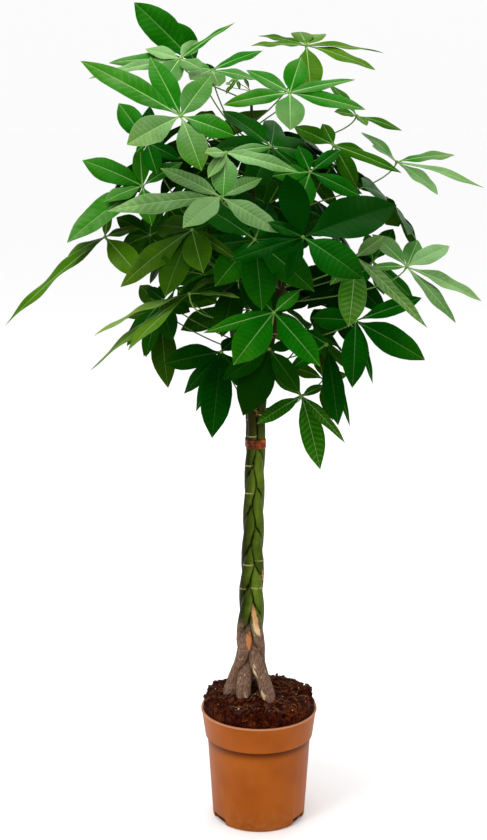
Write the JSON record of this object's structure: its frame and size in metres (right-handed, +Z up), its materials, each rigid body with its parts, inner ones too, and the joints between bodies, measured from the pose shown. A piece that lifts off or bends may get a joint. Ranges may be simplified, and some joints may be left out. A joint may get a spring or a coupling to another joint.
{
  "type": "potted money tree",
  "caption": "Braided money tree in a round nursery pot: woven bare stems under a broad crown of palmate leaves, in bark potting mix.",
  "frame": {"origin": "on the ground at the centre of the pot's flat underside", "axes": "+Z up along the trunk, +X to the right and +Y away from the viewer in the front view"},
  "size_m": [0.8, 0.5665, 1.447],
  "materials": {
    "pot": "moulded terracotta-coloured plastic with a satin skin",
    "potting_mix": "damp dark bark and fibre, rough and matt",
    "bark": "smooth olive young bark with pale ring scars, grey-brown and corky at the foot",
    "tie": "weathered red-brown band",
    "leaf": "glossy ribbed upper side, paler and duller underside, light midribs"
  },
  "bodies": {
    "root": {"braid_tie": "tie", "leaf_01": "leaf", "leaf_02": "leaf", "leaf_03": "leaf", "leaf_04": "leaf", "leaf_05": "leaf", "leaf_06": "leaf", "leaf_07": "leaf", "leaf_08": "leaf", "leaf_09": "leaf", "leaf_10": "leaf", "leaf_11": "leaf", "leaf_12": "leaf", "leaf_13": "leaf", "leaf_14": "leaf", "leaf_15": "leaf", "leaf_16": "leaf", "leaf_17": "leaf", "leaf_18": "leaf", "leaf_19": "leaf", "leaf_20": "leaf", "leaf_21": "leaf", "leaf_22": "leaf", "leaf_23": "leaf", "leaf_24": "leaf", "leaf_25": "leaf", "leaf_26": "leaf", "leaf_27": "leaf", "leaf_28": "leaf", "leaf_29": "leaf", "leaf_30": "leaf", "leaf_31": "leaf", "leaf_32": "leaf", "leaf_33": "leaf", "leaf_34": "leaf", "leaf_35": "leaf", "leaf_36": "leaf", "leaf_37": "leaf", "leaf_38": "leaf", "leaf_39": "leaf", "leaf_40": "leaf", "leaf_41": "leaf", "leaf_42": "leaf", "leaf_43": "leaf", "leaf_44": "leaf", "leaf_45": "leaf", "leaf_46": "leaf", "leaf_47": "leaf", "leaf_48": "leaf", "leaf_49": "leaf", "leaf_50": "leaf", "leaf_51": "leaf", "leaf_52": "leaf", "pot": "pot", "potting_mix": "potting_mix", "stem_1": "bark", "stem_2": "bark", "stem_3": "bark", "stem_4": "bark", "stem_5": "bark"}
  },
  "joints": []
}
